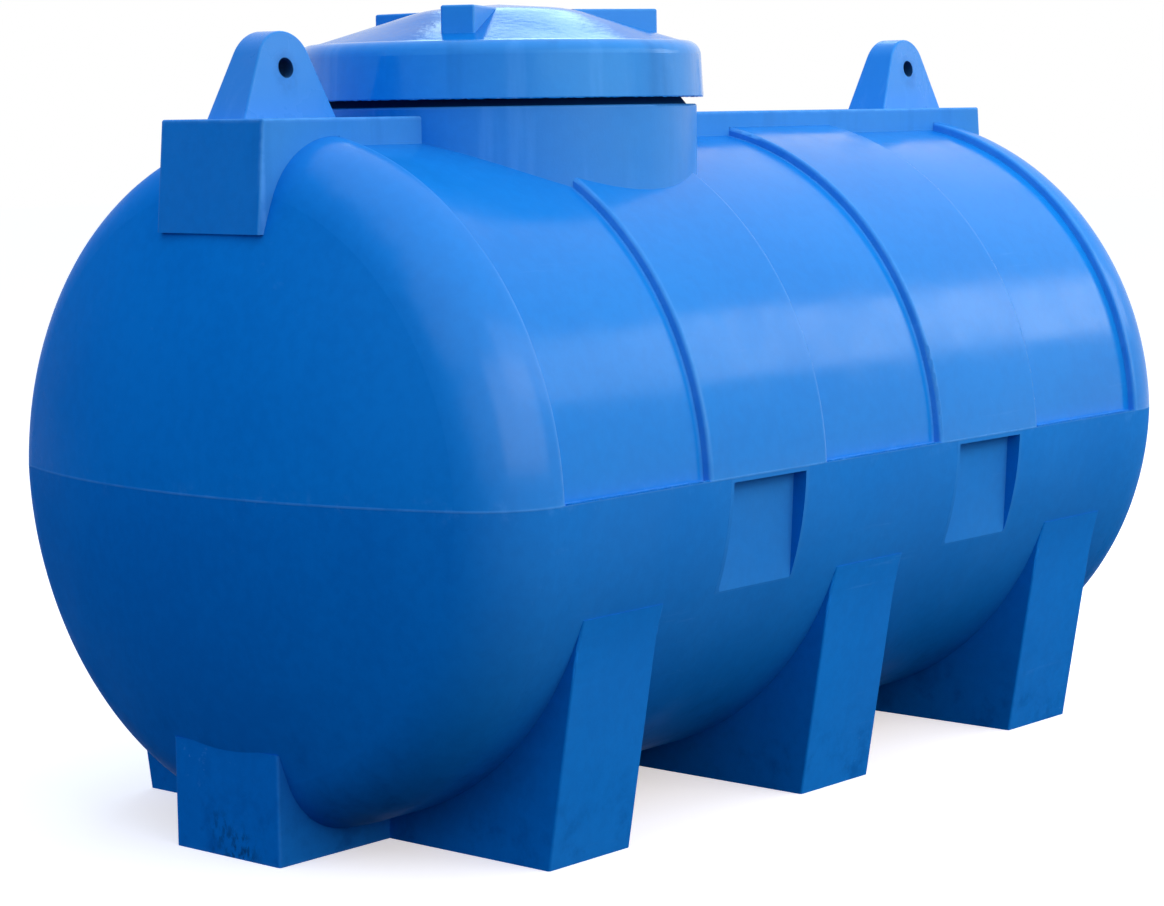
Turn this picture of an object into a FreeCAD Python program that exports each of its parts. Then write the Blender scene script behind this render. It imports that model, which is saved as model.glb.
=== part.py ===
"""Horizontal moulded water tank: two dished ends, banded barrel, saddle feet, spine, lugs and manway."""
import FreeCAD, Part
import math
import os
import Sketcher

doc = FreeCAD.newDocument("WaterTank")

# Driving sizes, in millimetres. X runs along the tank, the near end is at -X, the floor is Z = 0.
sizes = [
    ("half_width", 850, "half the width at the seam"),
    ("floor_gap", 35, "floor to lowest line of the barrel"),
    ("lower_drop", 830, "seam to lowest line of the barrel"),
    ("upper_rise", 824, "seam to crown"),
    ("wall", 12, "moulded wall"),
    ("panel_step", 22, "depth of the recessed panels"),
    ("band_inner", 244, "centre to inner edge of a band"),
    ("band_outer", 701, "centre to outer edge of a band"),
    ("shoulder_start", 1208, "centre to the step at a tank end"),
    ("shoulder_length", 20, "straight part of an end next to the step"),
    ("knuckle_radius", 212, "tight curve at the shoulder of an end"),
    ("dish_radius", 1900, "shallow curve of an end"),
    ("saddle_pitch", 957, "distance between saddle centres"),
    ("saddle_length", 284, "saddle size along the tank"),
    ("saddle_spread", 48.5, "saddle foot past three quarters of the half width"),
    ("saddle_bend", 440, "floor to where the saddle sides begin to flare"),
    ("saddle_flare", 8.6, "spread of the flare at the top of a saddle side"),
    ("saddle_lip", 2.5, "top of the flare outside the barrel surface"),
    ("keel_end", 1457, "centre to the end face of a keel"),
    ("keel_width", 354, "keel width"),
    ("keel_height", 262, "height of a keel end"),
    ("spine_end", 1448, "centre to the top of a spine end"),
    ("spine_lean", 23, "spread of a spine end towards its foot"),
    ("spine_width", 344, "spine width"),
    ("spine_rise", 25, "crown to the top of the spine"),
    ("spine_depth", 260, "height of a spine end"),
    ("lug_place", 1258, "centre to a lug"),
    ("lug_length", 292, "lug length at its base"),
    ("lug_width", 130, "lug size across the tank"),
    ("lug_eye_height", 116, "spine to the middle of the eye"),
    ("lug_top_radius", 85, "round top of a lug"),
    ("lug_eye", 45, "eye diameter"),
    ("lug_slope", 7.4, "lean of the lug faces, in degrees"),
    ("neck_place", 472.5, "centre to the manway axis"),
    ("neck_radius", 496, "outside of the manway neck"),
    ("neck_rise", 46, "crown to the rim of the neck"),
    ("collar_inset", 42, "outside of the neck to outside of the collar"),
    ("collar_foot", 16, "spread of the collar towards its foot"),
    ("lid_gap", 20, "rim of the neck to the lid"),
    ("lid_overhang", 10, "lid past the neck, at the top of its skirt"),
    ("lid_flare", 8, "spread of the skirt towards its foot"),
    ("lid_skirt", 138, "height of the skirt"),
    ("lid_shoulder", 40, "width of the rounded edge of the lid"),
    ("lid_round", 38, "rounding at the top of the skirt"),
    ("lid_rim", 44, "edge of the lid to the foot of its cone"),
    ("lid_cone_rise", 84, "rise of the cone"),
    ("lid_crown", 185, "radius where the cone flattens"),
    ("lid_crown_rise", 13, "rise of the flat crown"),
    ("lid_crown_round", 400, "rounding where the cone flattens"),
    ("lid_seat", 71, "edge of the lid to the inside of its seat on the collar"),
    ("lid_wall", 9, "lid thickness"),
    ("grip_inset", 54, "foot of the cone to the outer end of a grip"),
    ("grip_width", 84, "grip width"),
    ("grip_angle", 208.5, "direction of the first grip, in degrees"),
    ("pocket_width", 282, "side pocket along the tank"),
    ("pocket_height", 280, "seam to the foot of a side pocket"),
    ("pocket_depth", 38, "side pocket depth under the seam"),
    ("pocket_foot_depth", 53, "side pocket depth at its foot, from the seam width"),
    ("pocket_round", 18, "rounding of the lower corners of a side pocket"),
    ("edge_round", 6, "rounding of the moulded edges"),
    ("step_round", 9, "rounding of the bands and shoulders at their steps"),
]
sheet = doc.addObject("Spreadsheet::Sheet", "sheet")
for row, (alias, number, note) in enumerate(sizes, start=1):
    sheet.set("A%d" % row, str(number))
    sheet.setAlias("A%d" % row, alias)
    sheet.set("B%d" % row, note)
doc.recompute()
size = {alias: float(number) for alias, number, note in sizes}

# Each half of the barrel is an arc a little short of a half circle, so each has its own axis.
UPPER_RADIUS = "((sheet.half_width ^ 2 + sheet.upper_rise ^ 2) / (2 * sheet.upper_rise))"
LOWER_RADIUS = "((sheet.half_width ^ 2 + sheet.lower_drop ^ 2) / (2 * sheet.lower_drop))"
SEAM = "(sheet.floor_gap + sheet.lower_drop)"
CROWN = "(%s + sheet.upper_rise)" % SEAM
UPPER_AXIS = "(%s - %s)" % (CROWN, UPPER_RADIUS)
LOWER_AXIS = "(sheet.floor_gap + %s)" % LOWER_RADIUS
PANEL_RADIUS = "(%s - sheet.panel_step)" % UPPER_RADIUS
INNER_RADIUS = "(%s - sheet.wall)" % PANEL_RADIUS
SPINE_TOP = "(%s + sheet.spine_rise)" % CROWN
NECK_TOP = "(%s + sheet.neck_rise)" % CROWN
COLLAR_RADIUS = "(sheet.neck_radius - sheet.collar_inset)"
LID_RADIUS = "(sheet.neck_radius + sheet.lid_overhang)"
LID_BASE = "(%s + sheet.lid_gap)" % NECK_TOP

along_x = FreeCAD.Rotation(FreeCAD.Vector(0, 1, 0), 90)
half_turn = FreeCAD.Rotation(FreeCAD.Vector(0, 0, 1), 180)
pieces = []


def bind(thing, **formulas):
    """Bind properties to the sheet; a double underscore stands for the dot in Placement.Base.x."""
    for name, formula in formulas.items():
        thing.setExpression(name.replace("__", "."), formula)


def place(thing, x="0", y="0", z="0", rotation=None):
    """Put an object at a place given by formulas."""
    if rotation is not None:
        thing.Placement = FreeCAD.Placement(FreeCAD.Vector(0, 0, 0), rotation)
    bind(thing, Placement__Base__x=x, Placement__Base__y=y, Placement__Base__z=z)
    return thing


def keep(thing, label):
    """Name a finished sub-part; the label names its file."""
    thing.Label = label
    pieces.append(thing)
    return thing


def tube_solid(name, radius, start, end, height):
    """Solid cylinder along X between two stations."""
    solid = doc.addObject("Part::Cylinder", name)
    bind(solid, Radius=radius, Height="(%s) - (%s)" % (end, start))
    return place(solid, x=start, z=height, rotation=along_x)


def post_solid(name, radius, bottom, top):
    """Solid upright cylinder on the manway axis."""
    solid = doc.addObject("Part::Cylinder", name)
    bind(solid, Radius=radius, Height="(%s) - (%s)" % (top, bottom))
    return place(solid, x="-sheet.neck_place", z=bottom)


def block(name, length, width, height, x, y, z):
    """Box with its corner at the given place."""
    solid = doc.addObject("Part::Box", name)
    bind(solid, Length=length, Width=width, Height=height)
    return place(solid, x=x, y=y, z=z)


def cut(name, base, tool):
    result = doc.addObject("Part::Cut", name)
    result.Base = base
    result.Tool = tool
    return result


def common(name, base, tool):
    result = doc.addObject("Part::Common", name)
    result.Base = base
    result.Tool = tool
    return result


def fuse(name, parts):
    result = doc.addObject("Part::MultiFuse", name)
    result.Shapes = parts
    return result


def new_body(name):
    return doc.addObject("PartDesign::Body", name)


def new_sketch(body, name, plane):
    sketch = body.newObject("Sketcher::SketchObject", name)
    for feature in body.Origin.OriginFeatures:
        if feature.Role == plane:
            sketch.AttachmentSupport = [(feature, "")]
    sketch.MapMode = "FlatFace"
    return sketch


def hold(sketch, formula, *constraint):
    """Add a dimension bound to a formula."""
    index = sketch.addConstraint(Sketcher.Constraint(*constraint))
    name = "size%d" % index
    sketch.renameConstraint(index, name)
    sketch.setExpression("Constraints." + name, formula)


def draw_polygon(sketch, corners):
    """Closed outline; each corner is a pair of formulas and starts somewhere on a circle."""
    count = len(corners)
    first = sketch.GeometryCount
    spots = []
    for index in range(count):
        angle = 2 * math.pi * index / count
        spots.append(FreeCAD.Vector(900 + 500 * math.cos(angle), 900 + 500 * math.sin(angle), 0))
    for index in range(count):
        sketch.addGeometry(Part.LineSegment(spots[index], spots[(index + 1) % count]), False)
    for index in range(count):
        following = first + (index + 1) % count
        sketch.addConstraint(Sketcher.Constraint("Coincident", first + index, 2, following, 1))
    for index, (across, up) in enumerate(corners):
        line = first + index
        if across == "0":
            sketch.addConstraint(Sketcher.Constraint("PointOnObject", line, 1, -2))
        else:
            hold(sketch, across, "DistanceX", -1, 1, line, 1, spots[index].x)
        if up == "0":
            sketch.addConstraint(Sketcher.Constraint("PointOnObject", line, 1, -1))
        else:
            hold(sketch, up, "DistanceY", -1, 1, line, 1, spots[index].y)


def revolve(body, sketch, axis):
    turned = body.newObject("PartDesign::Revolution", sketch.Name + "_turned")
    turned.Profile = sketch
    turned.ReferenceAxis = (sketch, [axis])
    turned.Angle = 360
    sketch.Visibility = False
    return turned


def pad_both_ways(body, sketch, length):
    pad = body.newObject("PartDesign::Pad", sketch.Name + "_pad")
    pad.Profile = sketch
    pad.SideType = "Symmetric"
    bind(pad, Length=length)
    return pad


def cut_both_ways(body, sketch):
    pocket = body.newObject("PartDesign::Pocket", sketch.Name + "_pocket")
    pocket.Profile = sketch
    pocket.SideType = "Symmetric"
    pocket.Type = "ThroughAll"
    return pocket


def round_edges(body, radius, wanted):
    """Fillet the edges of a body that the given test picks."""
    doc.recompute()
    base = body.Tip
    edges = []
    for number, edge in enumerate(base.Shape.Edges, start=1):
        if wanted(base.Shape, edge):
            edges.append("Edge%d" % number)
    fillet = body.newObject("PartDesign::Fillet", base.Name + "_round")
    fillet.Base = (base, edges)
    bind(fillet, Radius=radius)
    return fillet


def is_level(edge):
    return abs(edge.Vertexes[0].Z - edge.Vertexes[-1].Z) < 0.01


def is_upright(shape, edge):
    """Corner edges that run up a block."""
    return not is_level(edge)


def is_lug_outline(shape, edge):
    """Outline of both faces of a lug, without its base, its eye and the lines from face to face."""
    box = edge.BoundBox
    on_base = box.ZMax < shape.BoundBox.ZMin + 0.01
    return not on_base and box.YLength < 0.4 * shape.BoundBox.YLength and len(edge.Vertexes) == 2


def is_pocket_corner(shape, edge):
    """Lower corners of a side pocket, which run into the tank."""
    return edge.BoundBox.YLength > 0.01 and edge.BoundBox.ZMax < shape.BoundBox.ZMin + 0.01


def is_end_edge(shape, edge):
    """Corner edges of the outer end of a keel or spine length."""
    reach = max(abs(shape.BoundBox.XMin), abs(shape.BoundBox.XMax))
    rising = edge.BoundBox.ZLength > 0.5 * shape.BoundBox.ZLength
    return rising and max(abs(edge.BoundBox.XMin), abs(edge.BoundBox.XMax)) > reach - 0.01


def is_spine_edge(shape, edge):
    """Corner edges of the leaning end and the edges of the top, up to the neck."""
    near_neck = edge.BoundBox.XLength < 0.01 and abs(edge.BoundBox.XMin) < size["lug_place"]
    top = edge.BoundBox.ZMin > shape.BoundBox.ZMax - 0.01
    return is_end_edge(shape, edge) or (top and not near_neck)


def is_step_edge(shape, edge):
    """Widest round edges on the flat end faces of a piece turned about the tank axis."""
    widest = max(other.BoundBox.ZMax for other in shape.Edges if other.BoundBox.XLength < 0.01)
    return edge.BoundBox.XLength < 0.01 and edge.BoundBox.ZMax > widest - 0.01


def is_shoulder_edge(shape, edge):
    """Widest round edge of a tank end, at its step."""
    start = min(other.BoundBox.XMin for other in shape.Edges)
    return is_step_edge(shape, edge) and edge.BoundBox.XMax < start + 0.01


def circle_at(radius, level):
    """Test for a round edge about the upright axis."""
    def test(shape, edge):
        curve = edge.Curve
        if curve.TypeId != "Part::GeomCircle":
            return False
        return abs(curve.Radius - radius) < 0.01 and abs(curve.Center.z - level) < 0.01
    return test


def is_grip_edge(shape, edge):
    """Outer corners and long top edges of a grip."""
    box = edge.BoundBox
    outer = abs(box.XMin - shape.BoundBox.XMax) < 0.01 and box.ZLength > 0.01
    top = abs(box.ZMin - shape.BoundBox.ZMax) < 0.01 and box.XLength > 0.01
    end = abs(box.XMin - shape.BoundBox.XMax) < 0.01 and abs(box.ZMin - shape.BoundBox.ZMax) < 0.01
    return outer or top or end


def draw_saddle(sketch, sole, waist, top, height):
    """Saddle outline: leaning sides that flare in tangent arcs to a thin lip on the barrel."""
    foot = size["half_width"] * 0.75 + size["saddle_spread"]
    bend = size["saddle_bend"]
    lean = math.radians(10)
    flare = size["dish_radius"]
    sweep = math.radians(6)
    side = foot + bend * math.tan(lean)
    outside = side + flare * math.cos(lean)
    below = bend - flare * math.sin(lean)
    up = FreeCAD.Vector(0, 0, 1)
    right_curve = Part.Circle(FreeCAD.Vector(outside, below, 0), up, flare)
    left_curve = Part.Circle(FreeCAD.Vector(-outside, below, 0), up, flare)
    right_arc = Part.ArcOfCircle(right_curve, math.pi - lean - sweep, math.pi - lean)
    left_arc = Part.ArcOfCircle(left_curve, lean, lean + sweep)

    def line(first, last):
        sketch.addGeometry(Part.LineSegment(FreeCAD.Vector(*first, 0), FreeCAD.Vector(*last, 0)), False)

    def tie(kind, *places):
        sketch.addConstraint(Sketcher.Constraint(kind, *places))

    line((-foot, 0), (foot, 0))
    line((foot, 0), (side, bend))
    sketch.addGeometry(right_arc, False)
    line((-foot, 0), (-side, bend))
    sketch.addGeometry(left_arc, False)
    line((right_arc.StartPoint.x, right_arc.StartPoint.y), (left_arc.EndPoint.x, left_arc.EndPoint.y))
    tie("PointOnObject", 0, 2, -1)
    tie("Symmetric", 0, 1, 0, 2, -2)
    tie("Coincident", 1, 1, 0, 2)
    tie("Coincident", 3, 1, 0, 1)
    tie("Symmetric", 1, 2, 3, 2, -2)
    tie("Tangent", 1, 2, 2, 2)
    tie("Tangent", 3, 2, 4, 1)
    tie("Symmetric", 2, 1, 4, 2, -2)
    tie("Coincident", 5, 1, 2, 1)
    tie("Coincident", 5, 2, 4, 2)
    hold(sketch, sole, "DistanceX", -1, 1, 0, 2, foot)
    hold(sketch, waist, "DistanceX", -1, 1, 1, 2, side)
    hold(sketch, "sheet.saddle_bend", "DistanceY", -1, 1, 1, 2, bend)
    hold(sketch, top, "DistanceX", -1, 1, 2, 1, right_arc.StartPoint.x)
    hold(sketch, height, "DistanceY", -1, 1, 2, 1, right_arc.StartPoint.y)


def draw_end(sketch, radius, hollow, flange):
    """Profile of a dished end: shoulder, knuckle arc and dish arc, tangent to each other.

    A hollow end gets the same curves one wall further in, and an upper end also gets the flange that
    makes the step down to the recessed panel.
    """
    start = size["shoulder_start"]
    wall = size["wall"]
    knuckle = size["knuckle_radius"]
    dish = size["dish_radius"]
    reach = size["half_width"]
    tilt = math.asin((reach - knuckle) / (dish - knuckle))
    bend_x = start + size["shoulder_length"]
    dish_x = bend_x - (dish - knuckle) * math.cos(tilt)
    bend = FreeCAD.Vector(bend_x, reach - knuckle, 0)
    middle = FreeCAD.Vector(dish_x, 0, 0)
    up = FreeCAD.Vector(0, 0, 1)

    def arc(centre, arc_radius, first, last):
        return Part.ArcOfCircle(Part.Circle(centre, up, arc_radius), first, last)

    def line(x1, y1, x2, y2):
        return Part.LineSegment(FreeCAD.Vector(x1, y1, 0), FreeCAD.Vector(x2, y2, 0))

    def tie(kind, *places):
        sketch.addConstraint(Sketcher.Constraint(kind, *places))

    sketch.addGeometry(line(start, reach, bend_x, reach), False)
    sketch.addGeometry(arc(bend, knuckle, tilt, math.pi / 2), False)
    sketch.addGeometry(arc(middle, dish, 0, tilt), False)
    tie("Horizontal", 0)
    tie("Tangent", 0, 2, 1, 2)
    tie("Tangent", 1, 1, 2, 2)
    tie("PointOnObject", 2, 3, -1)
    tie("PointOnObject", 2, 1, -1)
    hold(sketch, "sheet.shoulder_start", "DistanceX", -1, 1, 0, 1, start)
    hold(sketch, radius, "DistanceY", -1, 1, 0, 1, reach)
    hold(sketch, "sheet.shoulder_length", "DistanceX", 0, 1, 0, 2, bend_x - start)
    hold(sketch, "sheet.knuckle_radius", "Radius", 1, knuckle)
    hold(sketch, "sheet.dish_radius", "Radius", 2, dish)
    if not hollow:
        sketch.addGeometry(line(dish_x + dish, 0, start, 0), False)
        sketch.addGeometry(line(start, 0, start, reach), False)
        tie("Coincident", 3, 1, 2, 1)
        tie("Coincident", 4, 1, 3, 2)
        tie("Coincident", 4, 2, 0, 1)
        tie("Horizontal", 3)
        tie("Vertical", 4)
        return
    sketch.addGeometry(line(dish_x + dish, 0, dish_x + dish - wall, 0), False)
    sketch.addGeometry(arc(middle, dish - wall, 0, tilt), False)
    sketch.addGeometry(arc(bend, knuckle - wall, tilt, math.pi / 2), False)
    tie("Coincident", 3, 1, 2, 1)
    tie("Coincident", 3, 2, 4, 1)
    tie("PointOnObject", 4, 1, -1)
    tie("Coincident", 4, 3, 2, 3)
    tie("Coincident", 5, 3, 1, 3)
    tie("Tangent", 4, 2, 5, 1)
    tie("Vertical", 5, 2, 5, 3)
    hold(sketch, "sheet.wall", "Distance", 3, wall)
    if flange:
        low = reach - size["panel_step"] - wall
        sketch.addGeometry(line(bend_x, reach - wall, bend_x, low), False)
        sketch.addGeometry(line(bend_x, low, start, low), False)
        sketch.addGeometry(line(start, low, start, reach), False)
        tie("Coincident", 6, 1, 5, 2)
        tie("Coincident", 7, 1, 6, 2)
        tie("Coincident", 8, 1, 7, 2)
        tie("Coincident", 8, 2, 0, 1)
        tie("Vertical", 6)
        tie("Horizontal", 7)
        tie("Vertical", 8)
        hold(sketch, INNER_RADIUS, "DistanceY", -1, 1, 7, 1, low)
    else:
        sketch.addGeometry(line(bend_x, reach - wall, start, reach - wall), False)
        sketch.addGeometry(line(start, reach - wall, start, reach), False)
        tie("Coincident", 6, 1, 5, 2)
        tie("Coincident", 7, 1, 6, 2)
        tie("Coincident", 7, 2, 0, 1)
        tie("Horizontal", 6)
        tie("Vertical", 7)


def end_body(name, radius, axis, hollow, flange, near):
    """Dished end as a body of revolution about the axis of its half of the tank."""
    body = new_body(name)
    sketch = new_sketch(body, name + "_profile", "XZ_Plane")
    draw_end(sketch, radius, hollow, flange)
    revolve(body, sketch, "H_Axis")
    if flange:
        round_edges(body, "sheet.step_round", is_shoulder_edge)
    return place(body, z=axis, rotation=half_turn if near else None)


# Half spaces above and below the seam, and on either side of the centre line.
REACH = "(4 * (sheet.shoulder_start + sheet.half_width))"
below_seam = block("below_seam", REACH, REACH, REACH, "-" + REACH + " / 2", "-" + REACH + " / 2",
                   SEAM + " - " + REACH)
above_seam = block("above_seam", REACH, REACH, REACH, "-" + REACH + " / 2", "-" + REACH + " / 2", SEAM)
left_side = block("left_side", REACH, REACH, REACH, "-" + REACH + " / 2", "0", "0")
right_side = block("right_side", REACH, REACH, REACH, "-" + REACH + " / 2", "-" + REACH, "0")

# The four end shells.
for side, near in (("near", True), ("far", False)):
    shell = end_body(side + "_upper_turned", UPPER_RADIUS, UPPER_AXIS, True, True, near)
    keep(cut(side + "_upper_shell", shell, below_seam), side + "_end_upper")
    shell = end_body(side + "_lower_turned", LOWER_RADIUS, LOWER_AXIS, True, False, near)
    keep(cut(side + "_lower_shell", shell, above_seam), side + "_end_lower")

# Outside of the tank as solids, to cut the neck, spine, saddles and keels to its surface.
STATIONS = {
    "near_band": ("-sheet.band_outer", "-sheet.band_inner"),
    "far_band": ("sheet.band_inner", "sheet.band_outer"),
    "near_panel": ("-sheet.shoulder_start", "-sheet.band_outer"),
    "mid_panel": ("-sheet.band_inner", "sheet.band_inner"),
    "far_panel": ("sheet.band_outer", "sheet.shoulder_start"),
}
upper_body = fuse("upper_body", [
    tube_solid("panel_level", PANEL_RADIUS, "-sheet.shoulder_start", "sheet.shoulder_start", UPPER_AXIS),
    tube_solid("near_band_level", UPPER_RADIUS, *STATIONS["near_band"], UPPER_AXIS),
    tube_solid("far_band_level", UPPER_RADIUS, *STATIONS["far_band"], UPPER_AXIS),
    end_body("near_upper_solid", UPPER_RADIUS, UPPER_AXIS, False, False, True),
    end_body("far_upper_solid", UPPER_RADIUS, UPPER_AXIS, False, False, False),
])
lower_tube = tube_solid("lower_tube", LOWER_RADIUS, "-sheet.shoulder_start", "sheet.shoulder_start",
                        LOWER_AXIS)
lower_body = fuse("lower_body", [
    tube_solid("barrel_level", LOWER_RADIUS, "-sheet.shoulder_start", "sheet.shoulder_start", LOWER_AXIS),
    end_body("near_lower_solid", LOWER_RADIUS, LOWER_AXIS, False, False, True),
    end_body("far_lower_solid", LOWER_RADIUS, LOWER_AXIS, False, False, False),
])
inner_space = tube_solid("inner_space", INNER_RADIUS, "-sheet.shoulder_start", "sheet.shoulder_start",
                         UPPER_AXIS)
neck_post = post_solid("neck_post", "sheet.neck_radius", SEAM, NECK_TOP)


def panel_shell(name):
    """Recessed panel: plain wall between two stations, above the seam."""
    start, end = STATIONS[name]
    outside = tube_solid(name + "_outside", PANEL_RADIUS, start, end, UPPER_AXIS)
    inside = tube_solid(name + "_inside", INNER_RADIUS, start, end, UPPER_AXIS)
    return cut(name + "_arch", cut(name + "_ring", outside, inside), below_seam)


def band_shell(name):
    """Raised band: a turned channel whose flanges make the steps, with rounded shoulders, above the seam."""
    start, end = STATIONS[name]
    body = new_body(name + "_turned")
    sketch = new_sketch(body, name + "_profile", "XZ_Plane")
    draw_polygon(sketch, [
        (start, INNER_RADIUS),
        (start, UPPER_RADIUS),
        (end, UPPER_RADIUS),
        (end, INNER_RADIUS),
        (end + " - sheet.wall", INNER_RADIUS),
        (end + " - sheet.wall", UPPER_RADIUS + " - sheet.wall"),
        (start + " + sheet.wall", UPPER_RADIUS + " - sheet.wall"),
        (start + " + sheet.wall", INNER_RADIUS),
    ])
    revolve(body, sketch, "H_Axis")
    round_edges(body, "sheet.step_round", is_step_edge)
    place(body, z=UPPER_AXIS)
    return cut(name + "_arch", body, below_seam)


keep(cut("near_panel_cut", panel_shell("near_panel"), neck_post), "near_panel")
keep(cut("mid_panel_cut", panel_shell("mid_panel"), neck_post), "mid_panel")
keep(panel_shell("far_panel"), "far_panel")
keep(band_shell("far_band"), "far_band")
split_band = cut("near_band_cut", band_shell("near_band"), neck_post)
keep(common("near_band_right_half", split_band, right_side), "near_band_right")
keep(common("near_band_left_half", split_band, left_side), "near_band_left")


def pocket_body(name, inset, roof, width):
    """Pad of the pocket outline, deeper by the inset and with its roof that far under the seam."""
    body = new_body(name)
    sketch = new_sketch(body, name + "_outline", "YZ_Plane")
    outside = "-sheet.half_width - 4 * sheet.wall"
    draw_polygon(sketch, [
        (outside, roof),
        ("-sheet.half_width + sheet.pocket_depth + " + inset, roof),
        ("-sheet.half_width + sheet.pocket_foot_depth + " + inset, "-sheet.pocket_height"),
        (outside, "-sheet.pocket_height"),
    ])
    pad_both_ways(body, sketch, width)
    return body


# Side pockets: a tray that fills its hole in the lower barrel.
BAND_MIDDLE = "(sheet.band_inner + sheet.band_outer) / 2"
pocket_blocks = []
for end_name, station in (("near", "-" + BAND_MIDDLE), ("far", BAND_MIDDLE)):
    for side_name, rotation in (("right", None), ("left", half_turn)):
        name = "%s_pocket_%s" % (end_name, side_name)
        tray = pocket_body(name + "_block", "sheet.wall", "0", "sheet.pocket_width + 2 * sheet.wall")
        room = pocket_body(name + "_room", "0", "-sheet.wall", "sheet.pocket_width")
        round_edges(room, "sheet.pocket_round", is_pocket_corner)
        for thing in (tray, room):
            place(thing, x=station, z=SEAM, rotation=rotation)
        pocket_blocks.append(tray)
        keep(cut(name + "_tray", common(name + "_trim", tray, lower_tube), room), name)
# Lower barrel: a wall with a ledge along each side that carries the upper half.
barrel_inside = tube_solid("barrel_inside", LOWER_RADIUS + " - sheet.wall", "-sheet.shoulder_start",
                           "sheet.shoulder_start", LOWER_AXIS)
SEAT = "sqrt(%s ^ 2 - (%s - %s) ^ 2)" % (INNER_RADIUS, SEAM, UPPER_AXIS)
ledges = [
    block("right_ledge", REACH, REACH, "sheet.wall", "-" + REACH + " / 2", "-(%s + %s)" % (REACH, SEAT),
          SEAM + " - sheet.wall"),
    block("left_ledge", REACH, REACH, "sheet.wall", "-" + REACH + " / 2", SEAT, SEAM + " - sheet.wall"),
]
barrel_hollow = cut("barrel_hollow", barrel_inside, fuse("barrel_ledges", ledges))
barrel = cut("barrel_arch", cut("barrel_ring", lower_tube, barrel_hollow), above_seam)
keep(cut("barrel_cut", barrel, fuse("pocket_holes", pocket_blocks)), "lower_barrel")

# Saddles, whose sides flare to run into the barrel, cut to its surface.
SADDLE_HEIGHT = "(sheet.lower_drop * 0.71)"
SADDLE_SOLE = "(sheet.half_width * 0.75 + sheet.saddle_spread)"
SADDLE_TOP = "(sqrt(%s ^ 2 - (%s - %s) ^ 2) + sheet.saddle_lip)" % (LOWER_RADIUS, LOWER_AXIS, SADDLE_HEIGHT)
SADDLE_LEAN = "((%s - sheet.saddle_flare - %s) / %s)" % (SADDLE_TOP, SADDLE_SOLE, SADDLE_HEIGHT)
SADDLE_WAIST = "(%s + sheet.saddle_bend * %s)" % (SADDLE_SOLE, SADDLE_LEAN)
for name, station in (("near", "-sheet.saddle_pitch"), ("mid", "0"), ("far", "sheet.saddle_pitch")):
    body = new_body(name + "_saddle_block")
    sketch = new_sketch(body, name + "_saddle_outline", "YZ_Plane")
    draw_saddle(sketch, SADDLE_SOLE, SADDLE_WAIST, SADDLE_TOP, SADDLE_HEIGHT)
    pad_both_ways(body, sketch, "sheet.saddle_length")
    round_edges(body, "sheet.edge_round", is_upright)
    place(body, x=station)
    keep(cut(name + "_saddle_cut", body, lower_tube), name + "_saddle")

# Keel ends, from the outer saddles to the tank ends.
KEEL_START = "(sheet.saddle_pitch + sheet.saddle_length / 2)"
for name, sign in (("near", "-"), ("far", "")):
    body = new_body(name + "_keel_block")
    sketch = new_sketch(body, name + "_keel_outline", "XZ_Plane")
    draw_polygon(sketch, [
        (sign + KEEL_START, "0"),
        (sign + "sheet.keel_end", "0"),
        (sign + "sheet.keel_end", "sheet.keel_height"),
        (sign + KEEL_START, "sheet.keel_height"),
    ])
    pad_both_ways(body, sketch, "sheet.keel_width")
    round_edges(body, "sheet.edge_round", is_end_edge)
    keep(cut(name + "_keel_cut", body, lower_body), name + "_keel")

# Spine lengths before and behind the neck, with a leaning end face.
spine_tool = fuse("spine_tool", [upper_body, neck_post])
SPINE_FOOT = "(%s - sheet.spine_depth)" % SPINE_TOP
for name, sign in (("near", "-"), ("far", "")):
    body = new_body(name + "_spine_block")
    sketch = new_sketch(body, name + "_spine_outline", "XZ_Plane")
    draw_polygon(sketch, [
        ("-sheet.neck_place", SPINE_FOOT),
        (sign + "(sheet.spine_end + sheet.spine_lean)", SPINE_FOOT),
        (sign + "sheet.spine_end", SPINE_TOP),
        ("-sheet.neck_place", SPINE_TOP),
    ])
    pad_both_ways(body, sketch, "sheet.spine_width")
    round_edges(body, "sheet.edge_round", is_spine_edge)
    keep(cut(name + "_spine_cut", body, spine_tool), name + "_spine")

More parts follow.
